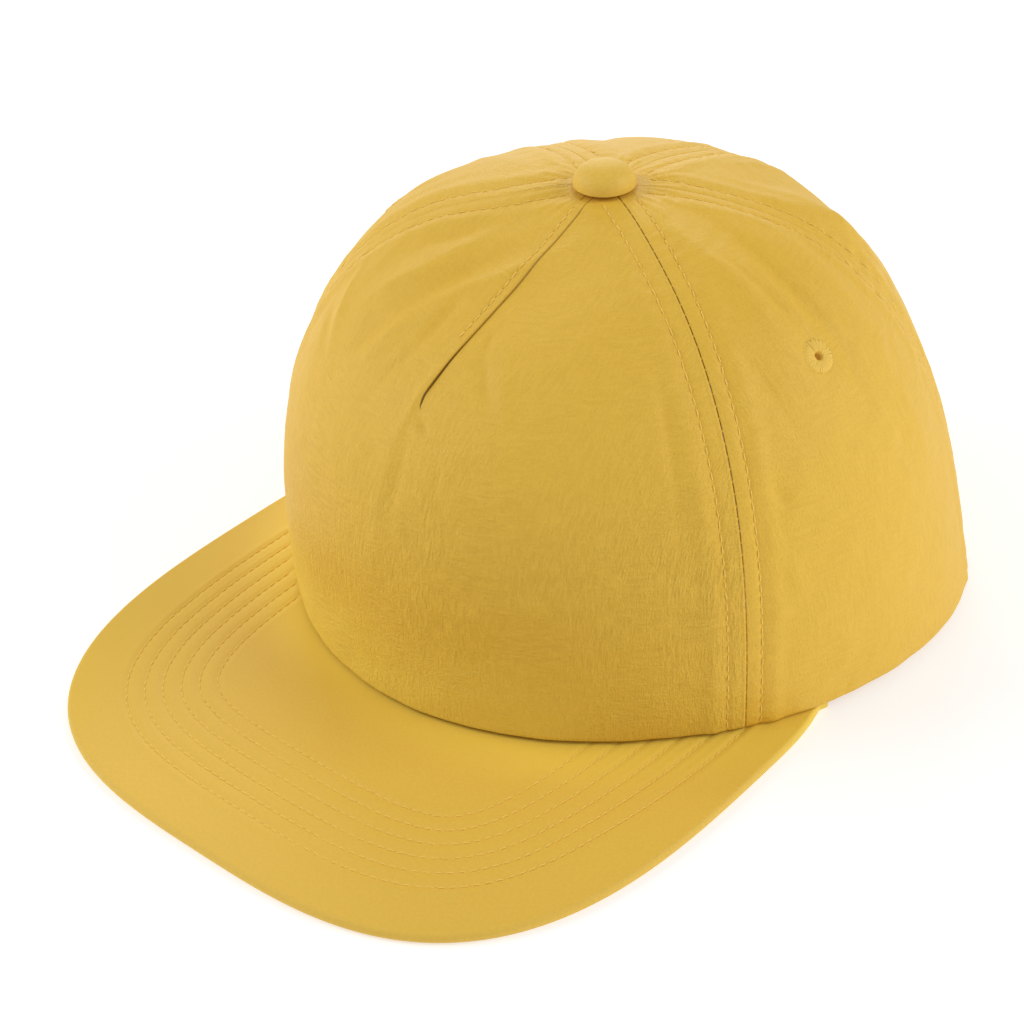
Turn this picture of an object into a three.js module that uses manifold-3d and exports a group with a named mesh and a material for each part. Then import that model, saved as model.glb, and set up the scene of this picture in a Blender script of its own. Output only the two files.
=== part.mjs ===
// A flat-brimmed cap of five cloth panels, lying on its brim and rim.
// Millimetres, +Z up, the brim points to -Y, and +X is the wearer's left.
import * as THREE from "three";
import { mergeVertices } from "three/addons/utils/BufferGeometryUtils.js";
import Module from "manifold-3d";

const degree = Math.PI / 180;
const clearance = 0.3;

// Crown: a rim that is nearly a circle, splayed at its two rear corners, and a profile up to the button
const crown = {
  height: 109.4,
  rimRadius: 91.8,
  rimForward: 1.6,
  rimCorners: 1.5,
  centreY: 11.7,
  buttonY: 8.1,
  wall: 1.4,
  lastRise: 88.2,
  onFloorFrom: 150,
};
const splay = { round: 119, halfAngle: 26, depth: 6.3 };

// The profile is a superellipse, square at the forehead and rounder at the sides and the back
const profiles = [
  { side: "front", reachPower: 1.57, heightPower: 3.8 },
  { side: "flank", reachPower: 2.78, heightPower: 2.38 },
  { side: "back", reachPower: 2.95, heightPower: 2.4 },
];

// Seams between panels, as degrees round from the front, at the rim and at the button
const seams = {
  frontToSide: { atRim: 57.7, atButton: 59.4 },
  sideToBack: { atRim: 118.5, atButton: 123 },
  centreBack: { atRim: 180, atButton: 180 },
};
const panel = { puff: 1.1, rows: 17, frontColumns: 26, sideColumns: 17, backColumns: 13 };
// The folds reach full height at a fifth of a panel's width from its seams
const foldedPart = 0.2;

// The cloth lies plain near the rim and under the button, and its folds fade out between these rises
const plainRim = { to: 6, foldedFrom: 24 };
const plainTop = { from: 81, to: 85 };
// The gathered cloth lifts the button
const peak = { from: 66, to: 84, height: 1.8 };

// The dart is folded towards the wearer's right, so that side stands over the other.
// It leans towards the left by a share of each degree of rise.
const dart = {
  endRise: 43.5,
  fullRise: 50,
  lean: 0.19,
  lip: 0.8,
  lipStart: 0.2,
  groove: 0.7,
  width: 3,
};

// Soft folds: middle of each one in degrees round and degrees up, half sizes and height in mm,
// and its turn in degrees from straight up the panel
const folds = [
  { round: 0, rise: 64, halfLength: 30, halfWidth: 24, height: -2.6, turn: 0 },
  { round: -10, rise: 62, halfLength: 24, halfWidth: 5.5, height: 0.9, turn: 24 },
  { round: -19, rise: 60, halfLength: 24, halfWidth: 5.5, height: -0.9, turn: 12 },
  { round: -29, rise: 61, halfLength: 26, halfWidth: 6, height: 1.1, turn: 6 },
  { round: -39, rise: 62, halfLength: 22, halfWidth: 6, height: -0.8, turn: 12 },
  { round: -40, rise: 44, halfLength: 20, halfWidth: 7, height: 0.7, turn: -30 },
  { round: 77, rise: 62, halfLength: 26, halfWidth: 6, height: 1.2, turn: -4 },
  { round: 92, rise: 60, halfLength: 28, halfWidth: 5.5, height: -1.1, turn: 4 },
  { round: 103, rise: 58, halfLength: 26, halfWidth: 6, height: 0.9, turn: 6 },
  { round: 100, rise: 16, halfLength: 22, halfWidth: 8, height: -0.7, turn: 30 },
  { round: -86, rise: 60, halfLength: 30, halfWidth: 8, height: 0.5, turn: -12 },
  { round: -104, rise: 46, halfLength: 28, halfWidth: 8, height: -0.9, turn: 20 },
  { round: 134, rise: 54, halfLength: 18, halfWidth: 9, height: 2.2, turn: 0 },
  { round: 152, rise: 55, halfLength: 30, halfWidth: 9, height: -0.9, turn: -15 },
  { round: -150, rise: 50, halfLength: 30, halfWidth: 9, height: -0.8, turn: 18 },
];

// Brim: a flat plate, widest at widestY, from where it is half a superellipse to the front
// and part of a shorter one to the rear
const brim = {
  thickness: 2.8,
  halfWidth: 89.1,
  widestY: -45.1,
  frontReach: 104.9,
  rearReach: 60,
  outlinePower: 3.1,
  edgeRound: 1.2,
  endAngle: 73,
  tipWidth: 1,
  sections: 62,
};

const sweatband = { wall: 1.2, lowRise: 0.3, highRise: 16, columns: 72, rows: 3 };
const button = { radius: 8, height: 6.2, edge: 1.4, forward: 1.3, steps: 8, facets: 32 };
const eyelet = {
  round: 85,
  rise: 47,
  outerRadius: 4.6,
  boreRadius: 1.1,
  barrelRadius: 1.9,
  stand: 0.6,
  facets: 28,
};

const mustard = 0xdcb24f;

function smoothstep(low, high, value) {
  const t = Math.min(Math.max((value - low) / (high - low), 0), 1);
  return t * t * (3 - 2 * t);
}

// The greatest value that is still inside, between one that is and one that isn't
function greatestInside(insideValue, outsideValue, isInside) {
  let low = insideValue;
  let high = outsideValue;
  for (let halving = 0; halving < 40; halving += 1) {
    const middle = (low + high) / 2;
    if (isInside(middle)) low = middle;
    else high = middle;
  }
  return low;
}

// Distance from the crown's axis to the rim, at an angle in degrees round from the front.
// The splay fades with height, a fraction from 0 at the rim to 1 at the button.
function rimRadius(round, height = 0) {
  const angle = round * degree;
  const plain = crown.rimRadius + crown.rimForward * Math.cos(angle) + crown.rimCorners * Math.cos(4 * angle);
  const fromCorner = (Math.abs(round) - splay.round) / splay.halfAngle;
  return plain + splay.depth * Math.exp(-fromCorner * fromCorner) * (1 - height) ** 3;
}

// The rim rides on the brim in front and comes down to the floor behind the brim's ends
function rimHeight(round) {
  const onBrim = brim.thickness + clearance;
  return onBrim * (1 - smoothstep(brim.endAngle, crown.onFloorFrom, Math.abs(round)));
}

function profilePowers(round) {
  const [front, flank, back] = profiles;
  const forward = Math.cos(round * degree);
  const weights = [Math.max(forward, 0) ** 2, 1 - forward ** 2, Math.max(-forward, 0) ** 2];
  const blend = (key) => weights[0] * front[key] + weights[1] * flank[key] + weights[2] * back[key];
  return { reachPower: blend("reachPower"), heightPower: blend("heightPower") };
}

// Reach and height fractions of the profile, at a rise in degrees as seen from the rim's centre
function profileAt(round, rise) {
  const { reachPower, heightPower } = profilePowers(round);
  const across = Math.cos(rise * degree);
  const up = Math.sin(rise * degree);
  const isInside = (scale) => (scale * across) ** reachPower + (scale * up) ** heightPower < 1;
  const scale = greatestInside(0.5, 1.5, isInside);
  return { reach: scale * across, height: scale * up };
}

function crownPoint(round, rise) {
  const { reach, height } = profileAt(round, rise);
  const radius = rimRadius(round, height) * reach;
  const angle = round * degree;
  const foot = rimHeight(round);
  const middleY = crown.centreY + (crown.buttonY - crown.centreY) * height;
  const z = foot + (crown.height - foot) * height;
  return new THREE.Vector3(radius * Math.sin(angle), middleY - radius * Math.cos(angle), z);
}

function crownNormal(round, rise) {
  const step = 0.05;
  const lower = Math.max(rise - step, 0);
  const along = crownPoint(round + step, rise).sub(crownPoint(round - step, rise));
  const upward = crownPoint(round, lower + 2 * step).sub(crownPoint(round, lower));
  const normal = along.cross(upward);
  if (rise < step) normal.z = 0;
  return normal.normalize();
}

// Distance round the crown, in mm, from one angle to another at the same rise
function mmRound(round, middle, rise) {
  return (round - middle) * degree * rimRadius(middle) * profileAt(middle, rise).reach;
}

function foldHeight(round, rise) {
  const mmPerRiseDegree = crown.height * degree;
  let total = 0;
  for (const fold of folds) {
    const across = mmRound(round, fold.round, rise);
    const up = (rise - fold.rise) * mmPerRiseDegree;
    const sine = Math.sin(fold.turn * degree);
    const cosine = Math.cos(fold.turn * degree);
    const along = (up * cosine + across * sine) / fold.halfLength;
    const aside = (across * cosine - up * sine) / fold.halfWidth;
    total += fold.height * Math.exp(-along * along - aside * aside);
  }
  return total;
}

// The angle round at which the dart lies
function dartRound(rise) {
  return dart.lean * Math.max(rise - dart.endRise, 0);
}

// The dart's lip stands up on the right-hand side and its groove lies on the left-hand one
function dartHeight(round, rise) {
  const depth = smoothstep(dart.endRise, dart.fullRise, rise);
  const across = mmRound(round, dartRound(rise), rise) / dart.width;
  if (across >= 0) return -dart.groove * depth * Math.exp(-across);
  const ontoLip = smoothstep(0, dart.lipStart, -across);
  return depth * (dart.lip * Math.exp(across / 2) * ontoLip - dart.groove * (1 - ontoLip));
}

function seamAngle(seam, rise) {
  return seam.atRim + ((seam.atButton - seam.atRim) * rise) / 90;
}

// Closed solid through sections, each a closed ring of points: a first half and its way back
function loft(sections, closed) {
  const count = sections[0].length;
  const positions = sections.flat().flatMap((point) => point.toArray());
  const index = [];
  const spans = closed ? sections.length : sections.length - 1;
  for (let s = 0; s < spans; s += 1) {
    const next = (s + 1) % sections.length;
    for (let p = 0; p < count; p += 1) {
      const q = (p + 1) % count;
      const a = s * count + p;
      const b = s * count + q;
      const c = next * count + p;
      const d = next * count + q;
      index.push(a, c, b, b, c, d);
    }
  }
  if (!closed) {
    const last = (sections.length - 1) * count;
    for (let p = 0; p < count / 2 - 1; p += 1) {
      const facing = count - 1 - p;
      index.push(p, p + 1, facing, p + 1, facing - 1, facing);
      index.push(last + p, last + facing, last + p + 1, last + p + 1, last + facing, last + facing - 1);
    }
  }
  const geometry = new THREE.BufferGeometry();
  geometry.setAttribute("position", new THREE.Float32BufferAttribute(positions, 3));
  geometry.setIndex(index);
  geometry.computeVertexNormals();
  return geometry;
}

// The angles where a panel starts and ends, at a rise
function panelEdges({ from, to }, rise) {
  return [from.side * seamAngle(from.seam, rise), to.side * seamAngle(to.seam, rise)];
}

// How far the cloth stands over the plain crown: its puff and peak, and those with its folds
function clothLift(piece, round, rise) {
  const [start, end] = panelEdges(piece, rise);
  const part = (round - start) / (end - start);
  const belowButton = smoothstep(plainTop.to, plainTop.from, rise);
  const bulge = Math.sin(Math.PI * part) * Math.sin((Math.PI * rise) / crown.lastRise);
  const puff = panel.puff * bulge * belowButton + peak.height * smoothstep(peak.from, peak.to, rise);
  const awayFromSeams = smoothstep(0, foldedPart, Math.min(part, 1 - part));
  const folded = awayFromSeams * smoothstep(plainRim.to, plainRim.foldedFrom, rise) * belowButton;
  const dartLift = piece.hasDart ? belowButton * dartHeight(round, rise) : 0;
  return { puff, all: puff + folded * foldHeight(round, rise) + dartLift };
}

// One panel, from a seam on its right-hand side to a seam on its left-hand side
function panelGeometry(piece) {
  const sections = piece.shares.map((share) => {
    const outside = [];
    const inside = [];
    for (let row = 0; row < panel.rows; row += 1) {
      const rise = (crown.lastRise * row) / (panel.rows - 1);
      const [start, end] = panelEdges(piece, rise);
      const middle = (start + end) / 2;
      const halfGap = clearance / 2 / (rimRadius(middle) * profileAt(middle, rise).reach) / degree;
      const part = share(end - start, rise);
      const lean = piece.hasDart ? dartRound(rise) * (1 - Math.abs(2 * part - 1)) : 0;
      const round = start + halfGap + (end - start - 2 * halfGap) * part + lean;
      const { puff, all } = clothLift(piece, round, rise);
      const point = crownPoint(round, rise);
      const normal = crownNormal(round, rise);
      outside.push(point.clone().addScaledVector(normal, all));
      inside.push(point.clone().addScaledVector(normal, Math.min(all, puff) - crown.wall));
    }
    return [...outside, ...inside.reverse()];
  });
  return loft(sections, false);
}

// Each column of a panel is a share of the way from its first seam to its last
function evenShares(columns) {
  return Array.from({ length: columns + 1 }, (_, column) => () => column / columns);
}

// The front panel has extra columns beside the dart, up to a dart's width from it
function frontShares(columns) {
  const nearest = 0.8 / columns;
  const beside = (dartWidths) => (width, rise) => {
    const panelMm = width * degree * crown.rimRadius * profileAt(0, rise).reach;
    return 0.5 + dartWidths * Math.min(dart.width / panelMm, nearest);
  };
  const even = evenShares(columns);
  const middle = columns / 2;
  const atDart = [beside(-1), beside(-dart.lipStart), even[middle], beside(1)];
  return [...even.slice(0, middle), ...atDart, ...even.slice(middle + 1)];
}

function insideBrimOutline(x, y) {
  const across = Math.abs(x) / brim.halfWidth;
  const reach = y < brim.widestY ? brim.frontReach : brim.rearReach;
  const along = Math.abs(y - brim.widestY) / reach;
  return across ** brim.outlinePower + along ** brim.outlinePower < 1;
}

// Distance from the crown's axis to the brim's edge
function brimRadius(round) {
  const isInside = (radius) =>
    insideBrimOutline(radius * Math.sin(round * degree), crown.centreY - radius * Math.cos(round * degree));
  return greatestInside(0, 2 * (brim.halfWidth + brim.frontReach), isInside);
}

function brimGeometry() {
  const sections = [];
  for (let section = 0; section <= brim.sections; section += 1) {
    const round = brim.endAngle * ((2 * section) / brim.sections - 1);
    const angle = round * degree;
    const inner = rimRadius(round) - crown.wall - clearance - sweatband.wall;
    const outer = Math.max(brimRadius(round), inner + brim.tipWidth);
    const edge = Math.min(brim.edgeRound, (outer - inner) / 3);
    const corner = edge * (1 - Math.SQRT1_2);
    const at = (radius, z) =>
      new THREE.Vector3(radius * Math.sin(angle), crown.centreY - radius * Math.cos(angle), z);
    const radii = [inner, outer - edge, outer - corner, outer];
    const cutIns = [0, 0, corner, edge];
    const upper = radii.map((radius, i) => at(radius, brim.thickness - cutIns[i]));
    const lower = radii.map((radius, i) => at(radius, cutIns[i]));
    sections.push([...upper.reverse(), ...lower]);
  }
  return loft(sections, false);
}

function sweatbandGeometry() {
  const sections = [];
  for (let column = 0; column < sweatband.columns; column += 1) {
    const round = (360 * column) / sweatband.columns - 180;
    const outside = [];
    const inside = [];
    for (let row = 0; row <= sweatband.rows; row += 1) {
      const rise = sweatband.lowRise + ((sweatband.highRise - sweatband.lowRise) * row) / sweatband.rows;
      const point = crownPoint(round, rise);
      const normal = crownNormal(round, rise);
      const outer = point.clone().addScaledVector(normal, -crown.wall - clearance);
      const inner = outer.clone().addScaledVector(normal, -sweatband.wall);
      if (row === 0) inner.z = outer.z;
      outside.push(outer);
      inside.push(inner);
    }
    sections.push([...outside, ...inside.reverse()]);
  }
  return loft(sections, true);
}

function buttonGeometry() {
  const profile = [new THREE.Vector2(0, 0), new THREE.Vector2(button.radius - button.edge, 0)];
  for (let step = 0; step < button.steps; step += 1) {
    const angle = (Math.PI / 2) * (step / button.steps);
    const z = button.edge + (button.height - button.edge) * Math.sin(angle);
    profile.push(new THREE.Vector2(button.radius * Math.cos(angle), z));
  }
  profile.push(new THREE.Vector2(0, button.height));
  return new THREE.LatheGeometry(profile, button.facets).rotateX(Math.PI / 2);
}

// A flange on the cloth and a short barrel through it, round an open bore
function eyeletGeometry() {
  const seat = clearance;
  const through = -crown.wall - clearance;
  const { outerRadius, boreRadius, barrelRadius, stand, facets } = eyelet;
  const crest = (outerRadius + barrelRadius) / 2;
  const edge = seat + stand / 2;
  const profile = [
    new THREE.Vector2(boreRadius, through),
    new THREE.Vector2(barrelRadius, through),
    new THREE.Vector2(barrelRadius, seat),
    new THREE.Vector2(outerRadius, seat),
    new THREE.Vector2(outerRadius, edge),
    new THREE.Vector2(crest, seat + stand),
    new THREE.Vector2(boreRadius, edge),
    new THREE.Vector2(boreRadius, through),
  ];
  return new THREE.LatheGeometry(profile, facets).rotateX(Math.PI / 2);
}

const wasm = await Module();
wasm.setup();

function toManifold(geometry) {
  const bare = geometry.clone();
  bare.deleteAttribute("normal");
  bare.deleteAttribute("uv");
  const merged = mergeVertices(bare, 1e-4);
  const vertProperties = Float32Array.from(merged.attributes.position.array);
  const triVerts = Uint32Array.from(merged.index.array);
  return new wasm.Manifold(new wasm.Mesh({ numProp: 3, vertProperties, triVerts }));
}

function fromManifold(solid) {
  const mesh = solid.getMesh();
  const geometry = new THREE.BufferGeometry();
  geometry.setAttribute("position", new THREE.Float32BufferAttribute(mesh.vertProperties, 3));
  geometry.setIndex(Array.from(mesh.triVerts));
  geometry.computeVertexNormals();
  return geometry;
}

// Turns +Z onto the crown's normal, with its origin on the cloth's outer face
function eyeletFrame(piece) {
  const round = piece.eyeletSide * eyelet.round;
  const normal = crownNormal(round, eyelet.rise);
  const turn = new THREE.Quaternion().setFromUnitVectors(new THREE.Vector3(0, 0, 1), normal);
  const lift = clothLift(piece, round, eyelet.rise).all;
  const place = crownPoint(round, eyelet.rise).addScaledVector(normal, lift);
  return new THREE.Matrix4().compose(place, turn, new THREE.Vector3(1, 1, 1));
}

function withEyeletHole(geometry, piece) {
  const radius = eyelet.barrelRadius + clearance;
  const drill = new THREE.CylinderGeometry(radius, radius, 8 * crown.wall, eyelet.facets);
  drill.rotateX(Math.PI / 2).applyMatrix4(eyeletFrame(piece));
  return fromManifold(toManifold(geometry).subtract(toManifold(drill)));
}

function cloth(roughness) {
  return new THREE.MeshStandardMaterial({ color: mustard, roughness, metalness: 0 });
}

const cap = new THREE.Group();

function addPiece(name, geometry, roughness = 0.85) {
  const mesh = new THREE.Mesh(geometry, cloth(roughness));
  mesh.name = name;
  cap.add(mesh);
  return mesh;
}

const { frontToSide, sideToBack, centreBack } = seams;
const left = (seam) => ({ seam, side: 1 });
const right = (seam) => ({ seam, side: -1 });
const frontColumns = frontShares(panel.frontColumns);
const sideColumns = evenShares(panel.sideColumns);
const backColumns = evenShares(panel.backColumns);
const pieces = [
  { name: "front_panel", from: right(frontToSide), to: left(frontToSide), shares: frontColumns },
  { name: "left_side_panel", from: left(frontToSide), to: left(sideToBack), shares: sideColumns },
  { name: "right_side_panel", from: right(sideToBack), to: right(frontToSide), shares: sideColumns },
  { name: "left_back_panel", from: left(sideToBack), to: left(centreBack), shares: backColumns },
  { name: "right_back_panel", from: right(centreBack), to: right(sideToBack), shares: backColumns },
];
const [frontPanel, leftSidePanel, rightSidePanel] = pieces;
frontPanel.hasDart = true;
leftSidePanel.eyeletSide = 1;
rightSidePanel.eyeletSide = -1;
for (const piece of pieces) {
  const whole = panelGeometry(piece);
  addPiece(piece.name, piece.eyeletSide ? withEyeletHole(whole, piece) : whole);
}

addPiece("brim", brimGeometry(), 0.8);
addPiece("sweatband", sweatbandGeometry(), 0.9);

const topButton = addPiece("button", buttonGeometry());
topButton.position.set(0, crown.buttonY - button.forward, crown.height + peak.height + clearance);

for (const piece of pieces.filter(({ eyeletSide }) => eyeletSide)) {
  const name = piece.eyeletSide > 0 ? "left_eyelet" : "right_eyelet";
  addPiece(name, eyeletGeometry()).applyMatrix4(eyeletFrame(piece));
}

// The origin is on the floor under the middle of the cap's length
const frontY = brim.widestY - brim.frontReach;
const backY = crown.centreY + rimRadius(180);
cap.position.y = -(frontY + backY) / 2;

export default cap;
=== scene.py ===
"""A flat-brimmed cap of five crinkled cloth panels, lying on its brim and rim on a pale floor."""

import math
from collections import namedtuple
from contextlib import contextmanager
from types import SimpleNamespace

import bpy
import numpy as np
from mathutils import Matrix, Vector


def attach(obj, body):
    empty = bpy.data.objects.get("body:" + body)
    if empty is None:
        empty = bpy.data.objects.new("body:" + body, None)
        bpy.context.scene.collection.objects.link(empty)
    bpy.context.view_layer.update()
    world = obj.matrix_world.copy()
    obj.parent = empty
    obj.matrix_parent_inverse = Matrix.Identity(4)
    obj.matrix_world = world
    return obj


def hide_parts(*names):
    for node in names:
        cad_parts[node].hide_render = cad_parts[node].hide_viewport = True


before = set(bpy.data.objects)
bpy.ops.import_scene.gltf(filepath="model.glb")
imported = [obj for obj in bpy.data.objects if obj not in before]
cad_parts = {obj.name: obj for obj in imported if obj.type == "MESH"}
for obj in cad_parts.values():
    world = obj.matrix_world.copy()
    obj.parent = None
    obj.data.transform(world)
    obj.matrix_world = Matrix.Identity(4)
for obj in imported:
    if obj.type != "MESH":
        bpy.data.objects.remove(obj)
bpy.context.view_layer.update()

# Lengths are in millimetres and angles in degrees, and each mesh is turned to metres as it is made
MM = 0.001
DEGREE = math.pi / 180
# Distances past every seam, dart and eyelet, and off every row of stitches
FAR = 99
OFF_ROW = 9

# The crown is told by two angles: round, from the front towards the wearer's left, and rise
crown = SimpleNamespace(
    height=109.4, rim_radius=91.8, rim_forward=1.6, rim_corners=1.5,
    centre_y=35.0, button_y=31.4, last_rise=88.2, on_floor_from=150,
)
splay = SimpleNamespace(round=119, half_angle=26, depth=6.3)
Profile = namedtuple("Profile", "reach_power height_power")
FRONT, FLANK, BACK = Profile(1.57, 3.8), Profile(2.78, 2.38), Profile(2.95, 2.4)

Seam = namedtuple("Seam", "at_rim at_button")
FRONT_TO_SIDE, SIDE_TO_BACK, CENTRE_BACK = Seam(57.7, 59.4), Seam(118.5, 123), Seam(180, 180)
# The front seam on the wearer's right is pulled forward near the button
pulled = SimpleNamespace(rise=76, spread=8, angle=5)

# Panels: the seam on each side of each one, and the distance of its rows of stitches from them
Panel = namedtuple("Panel", "name right_seam right_side left_seam left_side row columns")
PANELS = [
    Panel("front_panel", FRONT_TO_SIDE, -1, FRONT_TO_SIDE, 1, 4.8, 224),
    Panel("left_side_panel", FRONT_TO_SIDE, 1, SIDE_TO_BACK, 1, 4.0, 132),
    Panel("right_side_panel", SIDE_TO_BACK, -1, FRONT_TO_SIDE, -1, 4.0, 132),
    Panel("left_back_panel", SIDE_TO_BACK, 1, CENTRE_BACK, 1, 4.2, 108),
    Panel("right_back_panel", CENTRE_BACK, -1, SIDE_TO_BACK, -1, 4.2, 108),
]
FRONT_PANEL = PANELS[0]
panel_rows = 180
panel_puff = 1.1
crowding = 0.8
# The gathered cloth lifts the button
peak = SimpleNamespace(start=66, end=84, height=1.8)

# Cloth that is sewn: rows of stitches beside each seam, over a turned edge that makes it double
sewn = SimpleNamespace(
    double=6.0, pitch=3.0, edge_roll=0.22, hem_roll=0.8, seam_open=0.005, row_top=84,
    strip=0.15, ridge=0.14, row_depth=0.17, bulge=0.45, pucker=0.13,
)
crumple = SimpleNamespace(large=0.1, large_length=24, small=0.06, small_length=11)
gathers = SimpleNamespace(count=40, height=0.065, rise=81, spread=4, end=85)
cloth = SimpleNamespace(double=1.1, single_share=0.5, hem_rise=9)
# Half sizes of the needle holes
needle = SimpleNamespace(seam_length=0.34, brim_length=0.26, width=0.2)
dart = SimpleNamespace(
    end=43.8, full=47, lip=0.42, groove=0.26, groove_width=0.22, sink=0.2, width=3.0,
    row=2.3, row_end=54, row_depth=0.16,
    course_rises=(42.4, 43.6, 44.8, 46, 66, 88.2), course_rounds=(1.5, 0.62, 0.42, 0.5, 3.2, 9.0),
)

# Folds and creases: middle of each in degrees round and up, half sizes and height in mm,
# and its turn in degrees from straight up the panel
Fold = namedtuple("Fold", "round rise half_length half_width height turn")
FOLDS = [Fold(*row) for row in (
    (0, 64, 30, 24, -2.6, 0),
    (-10, 62, 24, 5.5, 0.9, 24),
    (-19, 60, 24, 5.5, -0.9, 12),
    (-29, 61, 26, 6, 1.1, 6),
    (-39, 62, 22, 6, -0.8, 12),
    (-40, 44, 20, 7, 0.7, -30),
    (77, 62, 26, 6, 1.2, -4),
    (92, 60, 28, 5.5, -1.1, 4),
    (103, 58, 26, 6, 0.9, 6),
    (100, 16, 22, 8, -0.7, 30),
    (-86, 60, 30, 8, 0.5, -12),
    (-104, 46, 28, 8, -0.9, 20),
    (134, 54, 18, 9, 2.2, 0),
    (84, 47.4, 5, 5, -0.45, 0),
    (-84, 47.4, 5, 5, -0.45, 0),
    (152, 55, 30, 9, -0.9, -15),
    (-150, 50, 30, 9, -0.8, 18),
)]
# The creases' heights are all multiplied by this
crease_depth = 1.22
CREASES = [Fold(*row) for row in (
    # Beside the dart, on the wearer's right of it
    (-9.1, 63.8, 18, 2.2, 0.45, 27),
    (-17.6, 48.8, 11, 2.4, 0.65, 1),
    (-9.1, 55, 9.3, 1.7, -0.7, 0),
    (-10.2, 46.1, 8.1, 1.8, -0.45, 17),
    (-18.8, 62.8, 13, 2, -0.35, 11.5),
    (-29, 66.3, 13.6, 2.4, 0.35, -2.5),
    (-30.2, 55, 9.7, 2.2, 0.5, 15),
    (-23.2, 47.1, 6.6, 2.2, -0.5, 9),
    (-38.5, 64.1, 8, 2, -0.4, 12),
    (-40.3, 46.4, 13.3, 1.8, 0.6, -53),
    (-38.3, 42.4, 7.4, 1.8, -0.5, -68),
    (-45, 54, 14, 2.2, 0.35, -30),
    (-47, 36, 20, 2.4, -0.3, -6),
    # Round the dart's end
    (-0.6, 44.8, 8.6, 1.3, 0.55, 5),
    (3, 41.2, 2.5, 1, -0.6, -57),
    (1.5, 34, 12, 1.8, -0.3, -4),
    (-1.5, 33, 14, 2, 0.22, -4),
    # Over the dart's other side and the forehead
    (7.4, 55.6, 5.6, 1.3, -0.4, -8.5),
    (11.3, 49.3, 7.4, 1.4, -0.45, -28),
    (16, 49, 12, 2, 0.25, -18),
    (20, 43, 16, 1.4, -0.22, 84),
    (10, 40, 6, 0.9, -0.25, 80),
    (8.5, 36, 7, 0.9, -0.2, 0),
    (48.5, 43, 18, 1.6, -0.4, 0),
    (53, 33.5, 6, 2.8, 0.45, 6),
    (51, 24, 6, 0.9, -0.28, -70),
    (50, 19, 7, 0.9, -0.28, -76),
    (38, 26, 20, 1.3, -0.17, 84),
    (40, 16, 22, 1.5, 0.17, 82),
    # Over the wearer's left ear
    (77.2, 62.1, 17.6, 2.2, 0.5, -4),
    (82.6, 58, 13.8, 1.2, -0.5, -6),
    (86.5, 57, 14, 1.3, 0.3, 0),
    (92.6, 60.2, 17.6, 1.9, -0.65, 5.5),
    (94, 52, 15.7, 2, 0.45, -2),
    (90.6, 44.5, 7.8, 1.7, -0.4, 3.4),
    (108, 62, 14, 1.9, 0.25, 8),
    (113, 60, 16, 1.7, -0.3, 6),
    (117.8, 72.8, 12.4, 2, 0.4, 10.5),
    (70, 46, 14, 2, -0.25, -14),
    (66, 33, 5, 1.5, -0.35, -40),
    (66, 24, 10, 2, 0.2, -20),
    (95, 33, 18, 2.2, -0.25, -8),
    (101, 34, 18, 2.2, 0.25, -6),
    # Pulled together where the brim ends under the rim
    (74.4, 1.2, 2.4, 0.8, 0.3, 52),
    (76, 2.1, 3, 0.8, -0.55, 52),
    (77.6, 3.1, 3.4, 0.8, 0.45, 50),
    (79.2, 4.2, 3.6, 0.8, -0.45, 48),
    (80.9, 5.4, 3.6, 0.8, 0.35, 46),
    (82.6, 6.4, 3.4, 0.9, -0.3, 44),
    # The side and the back that the photograph doesn't show
    (-70, 62, 20, 2.4, 0.25, -8),
    (-80, 56, 20, 2.6, -0.22, -14),
    (-98, 60, 22, 2.6, 0.25, 8),
    (-110, 50, 20, 2.8, -0.4, 18),
    (-92, 30, 18, 2.6, 0.35, 22),
    (-76, 2.1, 3, 0.8, -0.5, -52),
    (-78.6, 4, 3.6, 0.8, 0.4, -49),
    (133, 54, 8, 3, 0.6, 0),
    (138, 60, 22, 2.6, 0.3, 12),
    (146, 45, 20, 2.8, -0.4, -20),
    (165, 58, 20, 2.4, 0.4, -6),
    (-138, 58, 22, 2.6, -0.45, -12),
    (-160, 48, 20, 2.8, 0.45, 16),
    (-168, 62, 18, 2.3, -0.35, 4),
)]

brim = SimpleNamespace(
    thickness=2.8, half_width=89.1, widest_y=-21.8, front_reach=104.9, rear_reach=60, power=3.1,
    end_angle=73, tip_width=1.0, edge=1.3, edge_share=0.06, columns=300, rows=96,
    outline_step=0.25, outline_share=0.8,
    first_row=15.1, row_gap=4.7, row_count=6, fan=0.67, pitch=2.7,
    puff=0.1, groove=0.26, stitch_sink=0.16, under_stitch=0.3,
)
sweatband = SimpleNamespace(
    wall=1.2, cloth=0.9, wall_of_crown=1.4, clearance=0.3, play=0.15, lowest=0.4,
    low_rise=0.3, high_rise=16, row=2.6, row_depth=0.15, ripple=0.12, join=0.4, columns=420, rows=28,
)
button = SimpleNamespace(
    radius=8, height=6.2, under=0.6, forward=1.3, roundness=2.4, pleats=23, pleat_depth=0.006
)
eyelet = SimpleNamespace(
    round=84, rise=47.5, outer=4.5, bore=0.9, threads=40, stand=0.4,
    strand=0.13, into_hole=0.8, into_cloth=0.3, sides=6, rings=10,
)
thread = SimpleNamespace(width=0.34, share=0.8, dip=0.2, proud=0.14, sides=6, rings=6)


def smoothstep(low, high, value):
    t = np.clip((value - low) / (high - low), 0, 1)
    return t * t * (3 - 2 * t)


def bell(value):
    return np.exp(-value * value)


def unit(vectors):
    return vectors / np.linalg.norm(vectors, axis=-1, keepdims=True)


def farthest(inside, start, step, halvings):
    """The largest size that is still inside, found by halving the step."""
    for _ in range(halvings):
        start = np.where(inside(start + step), start + step, start)
        step /= 2
    return start


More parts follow.
